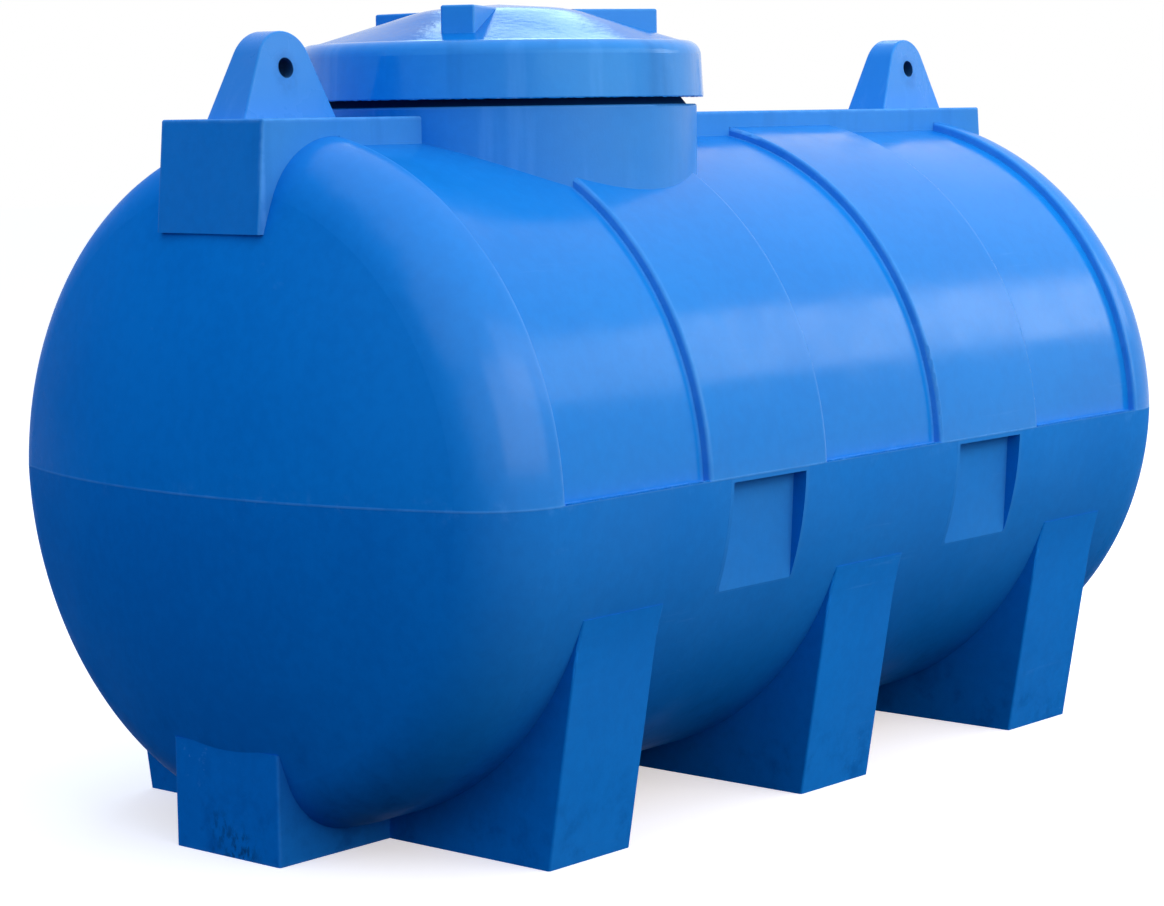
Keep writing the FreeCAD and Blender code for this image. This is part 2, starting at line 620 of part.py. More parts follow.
# Lifting lugs: straight sides tangent to a round top, with the eye in the same sketch, and leaning faces.
LUG_HEIGHT = "(sheet.lug_eye_height + sheet.lug_top_radius + sheet.wall)"
for name, station in (("near", "-sheet.lug_place"), ("far", "sheet.lug_place")):
    body = new_body(name + "_lug_body")
    sketch = new_sketch(body, name + "_lug_outline", "XZ_Plane")
    half = size["lug_length"] / 2
    eye_up = size["lug_eye_height"]
    top = size["lug_top_radius"]
    lean = math.acos(min(0.99, top / math.hypot(half, eye_up))) - math.atan2(eye_up, half)
    touch = FreeCAD.Vector(top * math.cos(lean), eye_up + top * math.sin(lean), 0)
    eye_middle = FreeCAD.Vector(0, eye_up, 0)
    corner = FreeCAD.Vector(half, 0, 0)
    mirror_corner = FreeCAD.Vector(-half, 0, 0)
    mirror_touch = FreeCAD.Vector(-touch.x, touch.y, 0)
    crest = FreeCAD.Vector(0, eye_up + top, 0)
    sketch.addGeometry(Part.LineSegment(mirror_corner, corner), False)
    sketch.addGeometry(Part.LineSegment(corner, touch), False)
    sketch.addGeometry(Part.Arc(touch, crest, mirror_touch), False)
    sketch.addGeometry(Part.LineSegment(mirror_touch, mirror_corner), False)
    sketch.addGeometry(Part.Circle(eye_middle, FreeCAD.Vector(0, 0, 1), size["lug_eye"] / 2), False)
    sketch.addConstraint(Sketcher.Constraint("Coincident", 0, 2, 1, 1))
    sketch.addConstraint(Sketcher.Constraint("Coincident", 3, 2, 0, 1))
    sketch.addConstraint(Sketcher.Constraint("Tangent", 1, 2, 2, 1))
    sketch.addConstraint(Sketcher.Constraint("Tangent", 2, 2, 3, 1))
    sketch.addConstraint(Sketcher.Constraint("Symmetric", 0, 1, 0, 2, -1, 1))
    sketch.addConstraint(Sketcher.Constraint("Horizontal", 0))
    sketch.addConstraint(Sketcher.Constraint("PointOnObject", 2, 3, -2))
    sketch.addConstraint(Sketcher.Constraint("Coincident", 4, 3, 2, 3))
    hold(sketch, "sheet.lug_length", "Distance", 0, 2 * half)
    hold(sketch, "sheet.lug_top_radius", "Radius", 2, top)
    hold(sketch, "sheet.lug_eye_height", "DistanceY", -1, 1, 2, 3, eye_up)
    hold(sketch, "sheet.lug_eye / 2", "Radius", 4, size["lug_eye"] / 2)
    pad_both_ways(body, sketch, "sheet.lug_width")
    faces = new_sketch(body, name + "_lug_faces", "YZ_Plane")
    for side in ("", "-"):
        draw_polygon(faces, [
            (side + "sheet.lug_width / 2", "0"),
            (side + "sheet.lug_width / 2", LUG_HEIGHT),
            (side + "(sheet.lug_width / 2 - %s * tan(sheet.lug_slope * 1 deg))" % LUG_HEIGHT, LUG_HEIGHT),
        ])
    cut_both_ways(body, faces)
    round_edges(body, "sheet.edge_round", is_lug_outline)
    place(body, x=station, z=SPINE_TOP)
    keep(body, name + "_lug")

# Manway neck: a pipe that ends at the inside of the tank, with a rounded rim.
NECK_BORE = "(sheet.neck_radius - sheet.wall)"
neck = new_body("neck_body")
sketch = new_sketch(neck, "neck_profile", "XZ_Plane")
draw_polygon(sketch, [
    (NECK_BORE, "0"),
    ("sheet.neck_radius", "0"),
    ("sheet.neck_radius", NECK_TOP + " - " + SEAM),
    (NECK_BORE, NECK_TOP + " - " + SEAM),
])
revolve(neck, sketch, "V_Axis")
round_edges(neck, "sheet.wall / 2", circle_at(size["neck_radius"], size["upper_rise"] + size["neck_rise"]))
place(neck, x="-sheet.neck_place", z=SEAM)
keep(cut("neck_cut", neck, inner_space), "manway_neck")

# Collar: a flange inside the rim of the neck and a narrower pipe up to the underside of the lid.
BORE = "(%s - sheet.wall)" % COLLAR_RADIUS
COLLAR_TOP = "(sheet.lid_gap + sheet.lid_skirt - sheet.lid_wall)"
collar = new_body("collar_body")
sketch = new_sketch(collar, "collar_profile", "XZ_Plane")
draw_polygon(sketch, [
    (BORE, "-sheet.wall"),
    (NECK_BORE, "-sheet.wall"),
    (NECK_BORE, "0"),
    (COLLAR_RADIUS + " + sheet.collar_foot", "0"),
    (COLLAR_RADIUS, "sheet.lid_gap"),
    (COLLAR_RADIUS, COLLAR_TOP),
    (BORE, COLLAR_TOP),
])
revolve(collar, sketch, "V_Axis")
place(collar, x="-sheet.neck_place", z=NECK_TOP)
keep(collar, "neck_collar")

# Lid skirt: flared ring with a rounded edge that turns in to the foot of the cone.
SKIRT_INNER = "(%s - sheet.lid_shoulder)" % LID_RADIUS
UNDERSIDE = "(sheet.lid_skirt - sheet.lid_wall)"
skirt = new_body("lid_skirt_body")
sketch = new_sketch(skirt, "lid_skirt_profile", "XZ_Plane")
draw_polygon(sketch, [
    (LID_RADIUS + " + sheet.lid_flare - sheet.lid_wall", "0"),
    (LID_RADIUS + " + sheet.lid_flare", "0"),
    (LID_RADIUS, "sheet.lid_skirt"),
    (SKIRT_INNER, "sheet.lid_skirt"),
    (SKIRT_INNER, UNDERSIDE),
    (LID_RADIUS + " - sheet.lid_wall", UNDERSIDE),
])
revolve(skirt, sketch, "V_Axis")
lid_radius = size["neck_radius"] + size["lid_overhang"]
underside = size["lid_skirt"] - size["lid_wall"]
round_edges(skirt, "sheet.lid_round", circle_at(lid_radius, size["lid_skirt"]))
round_edges(skirt, "sheet.lid_round - sheet.lid_wall", circle_at(lid_radius - size["lid_wall"], underside))
place(skirt, x="-sheet.neck_place", z=LID_BASE)
keep(skirt, "lid_skirt")

# Lid top: cone and flat crown over a level seat.
CONE_FOOT = "(%s - sheet.lid_rim)" % LID_RADIUS
LID_CREST = "(sheet.lid_skirt + sheet.lid_cone_rise + sheet.lid_crown_rise)"
lid = new_body("lid_top_body")
sketch = new_sketch(lid, "lid_top_profile", "XZ_Plane")
draw_polygon(sketch, [
    ("0", LID_CREST + " - sheet.lid_wall"),
    ("sheet.lid_crown", "sheet.lid_skirt + sheet.lid_cone_rise - sheet.lid_wall"),
    ("%s - sheet.lid_seat" % LID_RADIUS, UNDERSIDE),
    (SKIRT_INNER, UNDERSIDE),
    (SKIRT_INNER, "sheet.lid_skirt"),
    (CONE_FOOT, "sheet.lid_skirt"),
    ("sheet.lid_crown", "sheet.lid_skirt + sheet.lid_cone_rise"),
    ("0", LID_CREST),
])
revolve(lid, sketch, "V_Axis")
cone_top = size["lid_skirt"] + size["lid_cone_rise"]
round_edges(lid, "sheet.lid_crown_round", circle_at(size["lid_crown"], cone_top))
place(lid, x="-sheet.neck_place", z=LID_BASE)
keep(lid, "lid_top")

# Three grips on the cone of the lid, level with the crown.
lid_cone = doc.addObject("Part::Cone", "lid_cone")
bind(lid_cone, Radius1=CONE_FOOT, Radius2="sheet.lid_crown", Height="sheet.lid_cone_rise")
place(lid_cone, x="-sheet.neck_place", z=LID_BASE + " + sheet.lid_skirt")
GRIP_REACH = "(%s - sheet.grip_inset)" % CONE_FOOT
for index, turn in enumerate((0, 120, 240)):
    body = new_body("grip_body_%d" % index)
    sketch = new_sketch(body, "grip_outline_%d" % index, "XZ_Plane")
    draw_polygon(sketch, [
        ("sheet.lid_crown", "0"),
        (GRIP_REACH, "0"),
        (GRIP_REACH, "sheet.lid_cone_rise"),
        ("sheet.lid_crown", "sheet.lid_cone_rise"),
    ])
    pad_both_ways(body, sketch, "sheet.grip_width")
    round_edges(body, "sheet.edge_round", is_grip_edge)
    spot = "vector(-sheet.neck_place; 0; %s + sheet.lid_skirt)" % LID_BASE
    bind(body, Placement="placement(%s; rotation(vector(0; 0; 1); sheet.grip_angle + %d))" % (spot, turn))
    keep(cut("grip_cut_%d" % index, body, lid_cone), "lid_grip_%d" % (index + 1))

doc.recompute()
for thing in doc.Objects:
    if "Invalid" in thing.State or "Error" in thing.State:
        raise RuntimeError("object failed: " + thing.Name)
os.makedirs("parts", exist_ok=True)
for piece in pieces:
    if piece.Shape.isNull() or not piece.Shape.isValid() or len(piece.Shape.Solids) != 1:
        raise RuntimeError("bad shape: %s, %d solids" % (piece.Label, len(piece.Shape.Solids)))
    piece.Shape.exportStep("parts/%s.step" % piece.Label)
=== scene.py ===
"""Looks of the horizontal moulded water tank: satin blue shell, glossy lid and soft studio light."""

import math

import bpy
from mathutils import Matrix, Vector


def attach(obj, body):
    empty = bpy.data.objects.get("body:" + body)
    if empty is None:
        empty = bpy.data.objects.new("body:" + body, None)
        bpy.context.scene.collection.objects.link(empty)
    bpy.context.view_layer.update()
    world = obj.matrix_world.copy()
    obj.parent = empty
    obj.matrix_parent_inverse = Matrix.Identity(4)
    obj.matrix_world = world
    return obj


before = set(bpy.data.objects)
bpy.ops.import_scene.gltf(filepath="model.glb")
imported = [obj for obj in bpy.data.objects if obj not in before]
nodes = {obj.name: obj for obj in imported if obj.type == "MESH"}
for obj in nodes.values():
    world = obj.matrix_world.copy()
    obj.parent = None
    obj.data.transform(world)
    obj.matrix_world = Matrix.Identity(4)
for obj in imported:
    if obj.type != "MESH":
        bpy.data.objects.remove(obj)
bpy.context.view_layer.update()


# Places on the tank, in metres.

SEAM_HEIGHT = 0.865
NECK_PLACE = (-0.4725, 0.0)
BAND_INNER = 0.244
BAND_OUTER = 0.701
SHOULDER = 1.208
EYE_ALONG = 1.258
EYE_LEVEL = 1.830
KEEL_END = 1.457
KEEL_EDGE = {"Half Length": KEEL_END, "Half Width": 0.177, "Level": 0.0}
SPINE_EDGE = {"Half Length": 1.452, "Half Width": 0.172, "Level": 1.714}


# Reach of the marks, in metres: full up to the first distance, gone from the second on.

SEAM_LINE_REACH = (0.0012, 0.0040)
SEAM_RUB_REACH = (0.004, 0.040)
EYE_BORE_REACH = (0.0232, 0.0246)
EYE_RING_REACH = (0.022, 0.050)
STEP_HIGHLIGHT_REACH = (0.004, 0.016)


# Colours of the plastic and its marks.

SHELL_BLUE = (0.002, 0.222, 0.705, 1.0)
DEEP_BLUE = (0.001, 0.162, 0.570, 1.0)
PANEL_BLUE = (0.002, 0.222, 0.690, 1.0)
PANEL_DEEP = (0.001, 0.162, 0.560, 1.0)
LUG_BLUE = (0.004, 0.242, 0.740, 1.0)
LOWER_BLUE = (0.001, 0.196, 0.655, 1.0)
LOWER_DEEP = (0.001, 0.136, 0.510, 1.0)
LID_TOP_BLUE = (0.010, 0.205, 0.610, 1.0)
LID_BLUE = (0.006, 0.255, 0.760, 1.0)
LID_DEEP = (0.003, 0.195, 0.650, 1.0)
# Near-black blue on the collar under the lid: painted shade, far darker than the neck's own plastic.
COLLAR_PAINTED_SHADE = (0.001, 0.040, 0.160, 1.0)
COLLAR_PAINTED_SHADE_DEEP = (0.001, 0.022, 0.100, 1.0)
# Pale blue painted on faces towards the light side: a painted highlight.
LIT_SIDE_PALE = (0.100, 0.310, 0.640, 1.0)
# Pale blue for real rubs and knocks, also used for painted highlights on step edges and painted reflections
# on the lid skirt.
PALE_RUB_AND_SHEEN = (0.130, 0.400, 0.880, 1.0)
CHALK = (0.200, 0.480, 0.900, 1.0)
# Dark blue for stains and runs, also used for painted dark reflections on the lid skirt.
STAIN_AND_DARK_REFLECTION = (0.001, 0.050, 0.250, 1.0)
# Near-black for dirt smudges on the keel, also used as painted shade in the bores of the lug eyes.
GRIME_AND_BORE_SHADE = (0.004, 0.018, 0.055, 1.0)
COOL_GLOSS = (0.25, 0.65, 1.0, 1.0)
SHELL_GLOSS = (0.60, 0.86, 1.0, 1.0)
PLAIN_GLOSS = (0.85, 0.93, 1.0, 1.0)


# Node helpers.

def new_material(name):
    material = bpy.data.materials.new(name)
    material.use_nodes = True
    return material, material.node_tree


def fill(tree, socket, value):
    """Set a plain value on a socket, or link another socket to it."""
    if isinstance(value, (int, float, tuple)):
        socket.default_value = value
    else:
        tree.links.new(value, socket)


def math_node(tree, operation, first, second=0.0, third=0.0, clamp=False):
    node = tree.nodes.new("ShaderNodeMath")
    node.operation = operation
    node.use_clamp = clamp
    for socket, value in zip(node.inputs, (first, second, third)):
        fill(tree, socket, value)
    return node.outputs[0]


def vector_math(tree, operation, first, second):
    node = tree.nodes.new("ShaderNodeVectorMath")
    node.operation = operation
    fill(tree, node.inputs[0], first)
    fill(tree, node.inputs[1], second)
    return node.outputs


def smooth_step(tree, value, low, high, to_low=0.0, to_high=1.0):
    node = tree.nodes.new("ShaderNodeMapRange")
    node.interpolation_type = "SMOOTHSTEP"
    for label, setting in (("Value", value), ("From Min", low), ("From Max", high),
                           ("To Min", to_low), ("To Max", to_high)):
        fill(tree, node.inputs[label], setting)
    return node.outputs["Result"]


def fade_out(tree, distance, reach):
    """Mask that is full up to the first distance of a reach and gone from the second on."""
    return smooth_step(tree, distance, reach[0], reach[1], 1.0, 0.0)


def away_from(tree, value, place):
    """Distance between a value and a place, on either side of it."""
    return math_node(tree, "ABSOLUTE", math_node(tree, "SUBTRACT", value, place))


def long_side(tree, first, second):
    """Length of the long side over two sides at a right angle."""
    square = math_node(tree, "MULTIPLY", second, second)
    return math_node(tree, "SQRT", math_node(tree, "MULTIPLY_ADD", first, first, square))


def mix_colour(tree, factor, first, second):
    node = tree.nodes.new("ShaderNodeMix")
    node.data_type = "RGBA"
    for index, value in ((0, factor), (6, first), (7, second)):
        fill(tree, node.inputs[index], value)
    return node.outputs[2]


def split_axes(tree, vector):
    node = tree.nodes.new("ShaderNodeSeparateXYZ")
    tree.links.new(vector, node.inputs[0])
    return node.outputs["X"], node.outputs["Y"], node.outputs["Z"]


def noise(tree, vector, scale, detail=2.0, roughness=0.5, stretch=None):
    if stretch is not None:
        mapping = tree.nodes.new("ShaderNodeMapping")
        mapping.inputs["Scale"].default_value = stretch
        tree.links.new(vector, mapping.inputs["Vector"])
        vector = mapping.outputs["Vector"]
    node = tree.nodes.new("ShaderNodeTexNoise")
    fill(tree, node.inputs["Scale"], scale)
    node.inputs["Detail"].default_value = detail
    node.inputs["Roughness"].default_value = roughness
    tree.links.new(vector, node.inputs["Vector"])
    return node.outputs["Fac"]


def new_group(name, inputs, outputs):
    """Node group with a Vector input, float or vector inputs (name, default) and float outputs."""
    group = bpy.data.node_groups.new(name, "ShaderNodeTree")
    group.interface.new_socket("Vector", in_out="INPUT", socket_type="NodeSocketVector")
    for label, default in inputs:
        kind = "NodeSocketVector" if isinstance(default, tuple) else "NodeSocketFloat"
        socket = group.interface.new_socket(label, in_out="INPUT", socket_type=kind)
        socket.default_value = default
    for label in outputs:
        group.interface.new_socket(label, in_out="OUTPUT", socket_type="NodeSocketFloat")
    start = group.nodes.new("NodeGroupInput")
    end = group.nodes.new("NodeGroupOutput")
    return group, start.outputs, end.inputs


def place_group(tree, group, vector, values=()):
    node = tree.nodes.new("ShaderNodeGroup")
    node.node_tree = group
    tree.links.new(vector, node.inputs["Vector"])
    for label, value in dict(values).items():
        node.inputs[label].default_value = value
    return node.outputs


# Effects that several finishes share.

PEEL_SCALE = 210.0
RIPPLE_SCALE = 46.0
RIPPLE_HEIGHT = 0.9
WAVE_SCALE = 3.2
WAVE_HEIGHT = 6.0
MOTTLE_SHARE = 0.45
BROAD_SHARE = 0.55
RUB_STRETCH = (0.35, 4.0, 5.0)
SMUDGE_STRETCH = (1.0, 1.4, 0.8)
STREAK_STRETCH = (1.0, 1.0, 0.06)
LIT_SIDE_DIRECTION = (0.0, -0.85, 0.53)


def make_skin_group():
    """Moulded skin: fine orange peel, slow waves of the wall, and clouds of gloss and tone."""
    group, given, result = new_group("moulded_skin", [("Peel", 1.0), ("Waves", 1.0)],
                                     ["Height", "Gloss", "Tone"])
    vector = given["Vector"]
    peel = noise(group, vector, PEEL_SCALE, 3.0, 0.55)
    ripple = noise(group, vector, RIPPLE_SCALE, 2.0, 0.5)
    waves = noise(group, vector, WAVE_SCALE, 1.0, 0.4)
    height = math_node(group, "MULTIPLY", peel, given["Peel"])
    height = math_node(group, "MULTIPLY_ADD", ripple, RIPPLE_HEIGHT, height)
    slow = math_node(group, "MULTIPLY", waves, given["Waves"])
    height = math_node(group, "MULTIPLY_ADD", slow, WAVE_HEIGHT, height)
    gloss = smooth_step(group, noise(group, vector, 7.0, 4.0, 0.6), 0.3, 0.7)
    broad = smooth_step(group, noise(group, vector, 1.7, 3.0, 0.55), 0.28, 0.72)
    mottle = smooth_step(group, noise(group, vector, 34.0, 4.0, 0.65), 0.32, 0.70)
    tone = math_node(group, "MULTIPLY", broad, BROAD_SHARE)
    tone = math_node(group, "MULTIPLY_ADD", mottle, MOTTLE_SHARE, tone)
    group.links.new(height, result["Height"])
    group.links.new(gloss, result["Gloss"])
    group.links.new(tone, result["Tone"])
    return group


def make_scuff_group():
    """Scuffs: long faint rubs along the tank and small pale knocks."""
    group, given, result = new_group("scuffs", [("Amount", 1.0)], ["Rubs", "Knocks"])
    vector = given["Vector"]
    long_rubs = noise(group, vector, 9.0, 5.0, 0.65, stretch=RUB_STRETCH)
    patches = noise(group, vector, 2.6, 2.0, 0.5)
    rubs = smooth_step(group, long_rubs, 0.60, 0.78)
    rubs = math_node(group, "MULTIPLY", rubs, smooth_step(group, patches, 0.48, 0.70))
    rubs = math_node(group, "MULTIPLY", rubs, given["Amount"], clamp=True)
    specks = smooth_step(group, noise(group, vector, 60.0, 2.0, 0.5), 0.70, 0.80)
    knocks = math_node(group, "MULTIPLY", specks, smooth_step(group, patches, 0.55, 0.75))
    knocks = math_node(group, "MULTIPLY", knocks, given["Amount"], clamp=True)
    group.links.new(rubs, result["Rubs"])
    group.links.new(knocks, result["Knocks"])
    return group


def make_seam_group():
    """Parting seam: a narrow pale line round the tank with broken rubs beside it."""
    group, given, result = new_group("parting_seam", [("Level", SEAM_HEIGHT)], ["Line", "Rub"])
    vector = given["Vector"]
    distance = away_from(group, split_axes(group, vector)[2], given["Level"])
    wobble = noise(group, vector, 14.0, 3.0, 0.6)
    line = fade_out(group, distance, SEAM_LINE_REACH)
    line = math_node(group, "MULTIPLY", line, smooth_step(group, wobble, 0.30, 0.55, 0.45, 1.0))
    near_seam = fade_out(group, distance, SEAM_RUB_REACH)
    blotches = smooth_step(group, noise(group, vector, 22.0, 4.0, 0.65), 0.54, 0.72)
    group.links.new(line, result["Line"])
    group.links.new(math_node(group, "MULTIPLY", near_seam, blotches), result["Rub"])
    return group


def make_grime_group():
    """Grime that splashes up from the floor and settles in blotches."""
    group, given, result = new_group("floor_grime", [("Reach", 0.30)], ["Mask"])
    vector = given["Vector"]
    share = math_node(group, "DIVIDE", split_axes(group, vector)[2], given["Reach"])
    low = fade_out(group, share, (0.0, 1.0))
    blotches = smooth_step(group, noise(group, vector, 11.0, 5.0, 0.65), 0.46, 0.72)
    group.links.new(math_node(group, "MULTIPLY", low, blotches), result["Mask"])
    return group


def make_smudge_group():
    """One local smudge: streaky specks that fade out from a place."""
    group, given, result = new_group("smudge", [("Place", (0.0, 0.0, 0.0)), ("Radius", 0.1)], ["Mask"])
    vector = given["Vector"]
    distance = vector_math(group, "DISTANCE", vector, given["Place"])["Value"]
    share = math_node(group, "DIVIDE", distance, given["Radius"])
    inside = fade_out(group, share, (0.25, 1.0))
    specks = noise(group, vector, 42.0, 6.0, 0.62, stretch=SMUDGE_STRETCH)
    streaks = smooth_step(group, specks, 0.46, 0.62)
    group.links.new(math_node(group, "MULTIPLY", inside, streaks), result["Mask"])
    return group


def make_eye_group():
    """Painted shade in the bore of a lug eye, and a rub round it that is heavier below, where water runs
    out.
    """
    group, given, result = new_group("eye_stain_and_bore_shade", [("Along", EYE_ALONG), ("Level", EYE_LEVEL)],
                                     ["Bore", "Ring"])
    vector = given["Vector"]
    along, _, up = split_axes(group, vector)
    side = math_node(group, "SUBTRACT", math_node(group, "ABSOLUTE", along), given["Along"])
    rise = math_node(group, "SUBTRACT", up, given["Level"])
    # The bore's mask darkens the inside of the eye hole: painted shade.
    bore = fade_out(group, long_side(group, side, rise), EYE_BORE_REACH)
    drop = math_node(group, "MULTIPLY", rise, smooth_step(group, rise, -0.01, 0.01, 0.62, 1.0))
    ring = fade_out(group, long_side(group, side, drop), EYE_RING_REACH)
    broken = smooth_step(group, noise(group, vector, 38.0, 4.0, 0.6), 0.34, 0.62, 0.25, 1.0)
    group.links.new(bore, result["Bore"])
    group.links.new(math_node(group, "MULTIPLY", ring, broken), result["Ring"])
    return group


def make_lit_side_group():
    """Painted highlight: paler colour on faces that look up and towards -Y, the side the light falls on,
    uneven along the tank.
    """
    group, given, result = new_group("painted_lit_side", [("Facing", (0.0, -1.0, 0.0))], ["Mask"])
    towards = vector_math(group, "DOT_PRODUCT", given["Facing"], LIT_SIDE_DIRECTION)["Value"]
    towards_light = smooth_step(group, towards, 0.10, 0.85)
    uneven = smooth_step(group, noise(group, given["Vector"], 4.0, 3.0, 0.6), 0.25, 0.75, 0.75, 1.0)
    group.links.new(math_node(group, "MULTIPLY", towards_light, uneven), result["Mask"])
    return group


def make_streak_group():
    """Upright streaks, used as rain runs on standing walls and as painted reflections on the lid skirt."""
    group, given, result = new_group("rain_runs_and_reflections", [("Scale", 20.0)], ["Dark", "Pale"])
    lines = noise(group, given["Vector"], given["Scale"], 3.0, 0.6, stretch=STREAK_STRETCH)
    group.links.new(smooth_step(group, lines, 0.52, 0.70), result["Dark"])
    group.links.new(smooth_step(group, lines, 0.46, 0.30), result["Pale"])
    return group


def make_edge_group():
    """Pale rubbed edges of a block, given by half its length, half its width and its level."""
    sizes = [("Half Length", 1.0), ("Half Width", 0.2), ("Level", 1.0), ("Spread", 0.012)]
    group, given, result = new_group("edge_rub", sizes, ["Mask"])
    vector = given["Vector"]
    along, across, up = split_axes(group, vector)
    from_end = away_from(group, math_node(group, "ABSOLUTE", along), given["Half Length"])
    from_side = away_from(group, math_node(group, "ABSOLUTE", across), given["Half Width"])
    from_level = away_from(group, up, given["Level"])
    smaller = math_node(group, "MINIMUM", from_end, from_side)
    larger = math_node(group, "MAXIMUM", from_end, from_side)
    middle = math_node(group, "MAXIMUM", smaller, math_node(group, "MINIMUM", larger, from_level))
    share = math_node(group, "DIVIDE", middle, given["Spread"])
    line = fade_out(group, share, (0.15, 1.0))
    broken = smooth_step(group, noise(group, vector, 24.0, 4.0, 0.6), 0.34, 0.62, 0.30, 1.0)
    group.links.new(math_node(group, "MULTIPLY", line, broken), result["Mask"])
    return group


def make_step_highlight_group():
    """Painted highlights along the edges of the steps at an inner and an outer distance from the middle of
    the tank.
    """
    group, given, result = new_group("step_painted_highlight", [("Inner", BAND_INNER), ("Outer", BAND_OUTER)], ["Mask"])
    vector = given["Vector"]
    along = math_node(group, "ABSOLUTE", split_axes(group, vector)[0])
    inner = away_from(group, along, given["Inner"])
    outer = away_from(group, along, given["Outer"])
    line = fade_out(group, math_node(group, "MINIMUM", inner, outer), STEP_HIGHLIGHT_REACH)
    broken = smooth_step(group, noise(group, vector, 12.0, 4.0, 0.6), 0.34, 0.62, 0.65, 1.0)
    group.links.new(math_node(group, "MULTIPLY", line, broken), result["Mask"])
    return group


skin_group = make_skin_group()
scuff_group = make_scuff_group()
seam_group = make_seam_group()
grime_group = make_grime_group()
smudge_group = make_smudge_group()
eye_group = make_eye_group()
lit_side_group = make_lit_side_group()
streak_group = make_streak_group()
edge_group = make_edge_group()
step_highlight_group = make_step_highlight_group()


# Finishes.

TONE_SHARE = 0.45
RUB_STRENGTH = 0.35
KNOCK_STRENGTH = 0.5
WEAR_DULLNESS = 0.25
LINE_RELIEF = 2.5
CLOUD_SMOOTHER = 0.04
CLOUD_ROUGHER = 0.06
POLISHED = 0.20


def blue_plastic(name, blue, deep, roughness, specular, tint, lit_side_paint=0.0, rubs=0.5, knocks=0.5, peel=1.0,
                 waves=1.0, bump=0.12, depth=0.002, coat=0.0, marks=()):
    """Moulded plastic; a mark is a group, its values, an output, a colour, a strength and a dullness."""
    material, tree = new_material(name)
    shader = tree.nodes["Principled BSDF"]
    coordinates = tree.nodes.new("ShaderNodeTexCoord")
    vector = coordinates.outputs["Object"]
    facing = coordinates.outputs["Normal"]
    skin = place_group(tree, skin_group, vector, {"Peel": peel, "Waves": waves})
    scuff = place_group(tree, scuff_group, vector)
    colour = mix_colour(tree, smooth_step(tree, skin["Tone"], 0.0, 1.0, 0.0, TONE_SHARE), blue, deep)
    lit_mask = place_group(tree, lit_side_group, vector)
    tree.links.new(facing, lit_mask["Mask"].node.inputs["Facing"])
    # Painted highlight: faces towards the light side are mixed towards a paler blue.
    colour = mix_colour(tree, math_node(tree, "MULTIPLY", lit_mask["Mask"], lit_side_paint), colour, LIT_SIDE_PALE)
    wear = math_node(tree, "MULTIPLY", scuff["Rubs"], RUB_STRENGTH * rubs)
    wear = math_node(tree, "MULTIPLY_ADD", scuff["Knocks"], KNOCK_STRENGTH * knocks, wear, clamp=True)
    colour = mix_colour(tree, wear, colour, PALE_RUB_AND_SHEEN)
    dull = math_node(tree, "MULTIPLY", wear, WEAR_DULLNESS)
    height = skin["Height"]
    for group, values, output, tone, strength, dullness in marks:
        mask = place_group(tree, group, vector, values)[output]
        colour = mix_colour(tree, math_node(tree, "MULTIPLY", mask, strength), colour, tone)
        dull = math_node(tree, "MULTIPLY_ADD", mask, dullness, dull)
        if output == "Line":
            height = math_node(tree, "MULTIPLY_ADD", mask, LINE_RELIEF, height)
    gloss = smooth_step(tree, skin["Gloss"], 0.0, 1.0, roughness - CLOUD_SMOOTHER, roughness + CLOUD_ROUGHER)
    tree.links.new(colour, shader.inputs["Base Color"])
    tree.links.new(math_node(tree, "ADD", gloss, dull, clamp=True), shader.inputs["Roughness"])
    shader.inputs["Specular IOR Level"].default_value = specular
    shader.inputs["Specular Tint"].default_value = tint
    if coat:
        front = smooth_step(tree, lit_mask["Mask"], 0.50, 0.85)
        back = smooth_step(tree, split_axes(tree, facing)[1], 0.80, 0.95)
        polish = math_node(tree, "MULTIPLY", math_node(tree, "MAXIMUM", front, back), coat)
        tree.links.new(polish, shader.inputs["Coat Weight"])
        shader.inputs["Coat Roughness"].default_value = POLISHED
    relief = tree.nodes.new("ShaderNodeBump")
    relief.inputs["Strength"].default_value = bump
    relief.inputs["Distance"].default_value = depth
    tree.links.new(height, relief.inputs["Height"])
    tree.links.new(relief.outputs["Normal"], shader.inputs["Normal"])


seam_marks = [
    (seam_group, {}, "Rub", PALE_RUB_AND_SHEEN, 0.12, 0.05),
    (seam_group, {}, "Line", CHALK, 0.20, 0.10),
]
panel_marks = seam_marks + [
    # Pale lines along the band steps: painted highlights on the step edges.
    (step_highlight_group, {}, "Mask", PALE_RUB_AND_SHEEN, 0.36, 0.08),
]
end_marks = seam_marks + [
    # Pale line at the shoulder: a painted highlight where the end steps down to the recess.
    (step_highlight_group, {"Inner": SHOULDER, "Outer": SHOULDER}, "Mask", PALE_RUB_AND_SHEEN, 0.34, 0.05),
]
lower_marks = seam_marks + [
    (grime_group, {"Reach": 0.5}, "Mask", STAIN_AND_DARK_REFLECTION, 0.35, 0.10),
]
foot_marks = [
    (grime_group, {"Reach": 0.30}, "Mask", STAIN_AND_DARK_REFLECTION, 0.40, 0.15),
    (edge_group, KEEL_EDGE, "Mask", PALE_RUB_AND_SHEEN, 0.08, 0.05),
    (smudge_group, {"Place": (-KEEL_END, -0.042, 0.020), "Radius": 0.070}, "Mask", GRIME_AND_BORE_SHADE, 0.45, 0.20),
    (smudge_group, {"Place": (-KEEL_END, 0.025, 0.070), "Radius": 0.055}, "Mask", GRIME_AND_BORE_SHADE, 0.32, 0.20),
    (smudge_group, {"Place": (-KEEL_END, -0.030, -0.010), "Radius": 0.130}, "Mask", GRIME_AND_BORE_SHADE, 0.34, 0.20),
]
